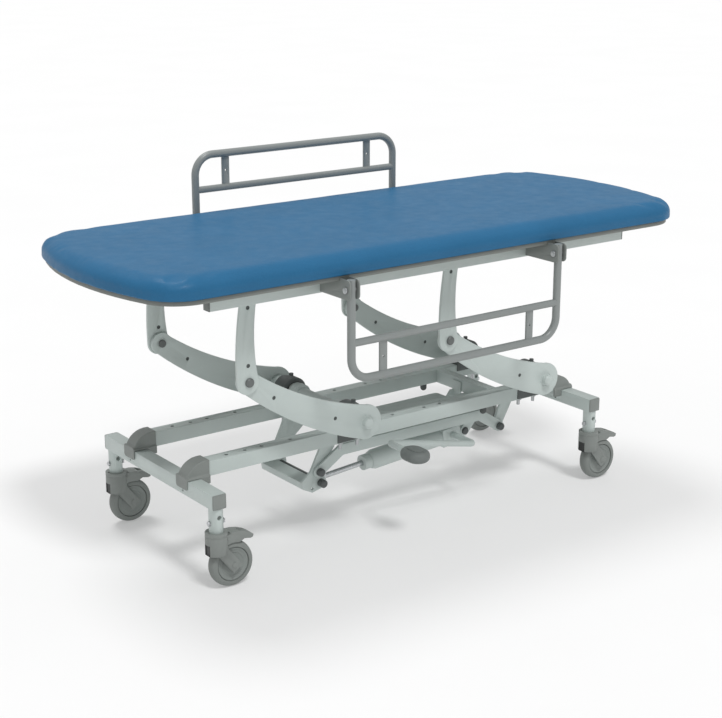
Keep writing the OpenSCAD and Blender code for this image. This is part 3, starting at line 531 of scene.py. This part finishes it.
def spread_to_box(piece):
    """Brings the blown-up cover back out to the pad's outline; stuffing it draws the sides in a little."""
    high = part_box("pad")[1]
    wide = high.x / max(abs(v.co.x) for v in piece.data.vertices)
    deep = high.y / max(abs(v.co.y) for v in piece.data.vertices)
    for vertex in piece.data.vertices:
        vertex.co.x *= wide
        vertex.co.y *= deep


def finish_cover(piece):
    """What foam and stretched vinyl leave: a soft crown, low waves and faint puckers round the corners."""
    low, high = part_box("pad")
    corner_x, corner_y = high.x - 0.16, high.y - CORNER_R
    crown_height, wave_height, pucker_depth = 0.0022, 0.0007, 0.0004
    puckers = 26
    for vertex in piece.data.vertices:
        x, y, z = vertex.co
        up = (z - low.z) / (high.z - low.z)
        if up > 0.8:
            crown = (1 - (x / high.x) ** 4) * (1 - (y / high.y) ** 4)
            broad = noise.noise(Vector((x * 5, y * 7, 3.1)))
            wave = broad + 0.5 * noise.noise(Vector((x * 14, y * 16, 8.7)))
            vertex.co.z += crown_height * crown + wave_height * wave
        if abs(x) > corner_x and abs(y) > corner_y and 0.03 < up < 0.75:
            turn = math.atan2(abs(y) - corner_y, abs(x) - corner_x)
            jitter = 1.3 * noise.noise(Vector((x * 30, y * 30, 0)))
            depth = math.sin(turn * puckers + jitter) * (0.75 - up)
            out = Vector((x, y, 0)) - Vector((math.copysign(corner_x, x), math.copysign(corner_y, y), 0))
            vertex.co += out.normalized() * pucker_depth * depth


def make_cushion():
    """The vinyl cushion that stands for the CAD pad."""
    slack, held, most_move = 0.003, 0.004, 0.006
    piece = pad_block(slack)
    remesh(piece, 0.006)
    inflate(piece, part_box("pad")[0].z + held, most_move)
    ease = piece.modifiers.new("ease", "SMOOTH")
    ease.factor = 0.5
    ease.iterations = 8
    apply_modifiers(piece)
    spread_to_box(piece)
    finish_cover(piece)
    sub = piece.modifiers.new("smooth", "SUBSURF")
    sub.levels = sub.render_levels = 1
    apply_modifiers(piece)
    piece.data.polygons.foreach_set("use_smooth", [True] * len(piece.data.polygons))
    piece.data.materials.clear()
    piece.data.materials.append(vinyl_material())
    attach(piece, "top")
    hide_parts("pad")


# ---------- small fittings ----------

def new_piece(name, mesh, material, body):
    """Turns a bmesh into a finished small part that rides on a body."""
    data = bpy.data.meshes.new(name)
    bmesh.ops.recalc_face_normals(mesh, faces=mesh.faces)
    mesh.to_mesh(data)
    mesh.free()
    data.polygons.foreach_set("use_smooth", [True] * len(data.polygons))
    data.materials.append(material)
    made = bpy.data.objects.new(name, data)
    bpy.context.scene.collection.objects.link(made)
    edge = made.modifiers.new("edge", "BEVEL")
    edge.width = 0.4 * MM
    edge.segments = 2
    edge.limit_method = "ANGLE"
    edge.harden_normals = True
    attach(made, body)


def turned(mesh, x, z, profile, steps=28):
    """A closed turned shape about an axis along Y, from (radius, y) pairs that start and end on the axis."""
    rings = []
    for radius, y in profile[1:-1]:
        rings.append([mesh.verts.new((x + radius * math.cos(math.tau * i / steps), y,
                                      z + radius * math.sin(math.tau * i / steps))) for i in range(steps)])
    for a, b in zip(rings, rings[1:]):
        for i in range(steps):
            j = (i + 1) % steps
            mesh.faces.new((a[i], a[j], b[j], b[i]))
    for ring, (_, y) in ((rings[0], profile[0]), (rings[-1], profile[-1])):
        tip = mesh.verts.new((x, y, z))
        for i in range(steps):
            mesh.faces.new((ring[i], ring[(i + 1) % steps], tip))


def hole_shade_plugs(name, body, spots, near, far, material):
    """Dished dark plugs in the spare holes on both long sides, set a little below both faces of the plate;
    their dark grey is painted shade for the holes' insides.
    """
    mesh = bmesh.new()
    radius, sunk, dish, flat, bevel = 5.45 * MM, 0.7 * MM, 1.1 * MM, 3.1 * MM, 0.8 * MM
    inner, outer = near + sunk, far - sunk
    half = [(0, inner + dish), (flat, inner + dish), (flat + bevel, inner), (radius, inner)]
    half += [(radius, outer), (flat + bevel, outer), (flat, outer - dish), (0, outer - dish)]
    for side in (-1, 1):
        for x, z in spots:
            turned(mesh, x, z, [(r, side * y) for r, y in half])
    new_piece(name, mesh, material, body)


def fit_hole_shade_plugs():
    """Dark plugs in the spare holes of the arms and uprights, which put painted shade into the holes, placed
    from the two cross shafts.
    """
    arm, slope, below_line = 0.424, math.radians(26.1), 0.0175
    arm_plate, upright_plate = (0.217, 0.227), (0.228, 0.236)
    # Painted shade: the plugs' dark grey stands in for the shade inside the holes.
    material = moulded_plastic("hole_shade_plastic", srgb(78, 83, 82), 0.5)
    tops = []
    for end in ENDS:
        low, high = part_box(f"torsion_tube_{end}")
        x, z = (low.x + high.x) / 2, (low.z + high.z) / 2
        spots = [(x - along * math.cos(slope) - below_line * math.sin(slope),
                  z + along * math.sin(slope) - below_line * math.cos(slope)) for along in (0.108, 0.326)]
        hole_shade_plugs(f"arm_hole_plugs_{end}", f"lift_{end}", spots, *arm_plate, material)
        pin_x, pin_z = x - arm * math.cos(slope), z + arm * math.sin(slope)
        tops += [(pin_x - 0.002, pin_z + 0.045), (pin_x, pin_z + 0.198)]
    hole_shade_plugs("upright_hole_plugs", "top", tops, *upright_plate, material)


def fit_castor_windows():
    """The dark window moulded into the side of each castor housing, a frame around a sunk panel; its black is
    painted shade for the deep recess.
    """
    # Painted shade: the sunk panel is coloured black to stand for the shade deep in the window's recess.
    material = moulded_plastic("window_shade_black", srgb(38, 41, 41), 0.35)
    depth, width, height = 0.0125, 0.0232, 0.0292
    swivel_in, window_out, window_z = 0.0295, 0.0215, 0.112
    rim, sunk = 0.0022, 0.0025
    for tag in CASTORS:
        low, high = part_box(f"castor_fork_{tag}")
        swivel_x, mid_y = low.x + swivel_in, (low.y + high.y) / 2
        mesh = bmesh.new()
        bmesh.ops.create_cube(mesh, size=1.0)
        for vertex in mesh.verts:
            vertex.co = Vector((swivel_x - window_out + depth * vertex.co.x, mid_y + width * vertex.co.y,
                                window_z + height * vertex.co.z))
        outer_face = swivel_x - window_out - depth / 2
        front = [f for f in mesh.faces if f.calc_center_median().x < outer_face + 0.25 * MM]
        bmesh.ops.inset_region(mesh, faces=front, thickness=rim)
        for face in front:
            for vertex in face.verts:
                vertex.co.x += sunk
        new_piece(f"castor_window_{tag}", mesh, material, f"castor_{tag}")


make_camera()
make_studio()
dress_frame()
soften_frame()
make_cushion()
fit_hole_shade_plugs()
fit_castor_windows()
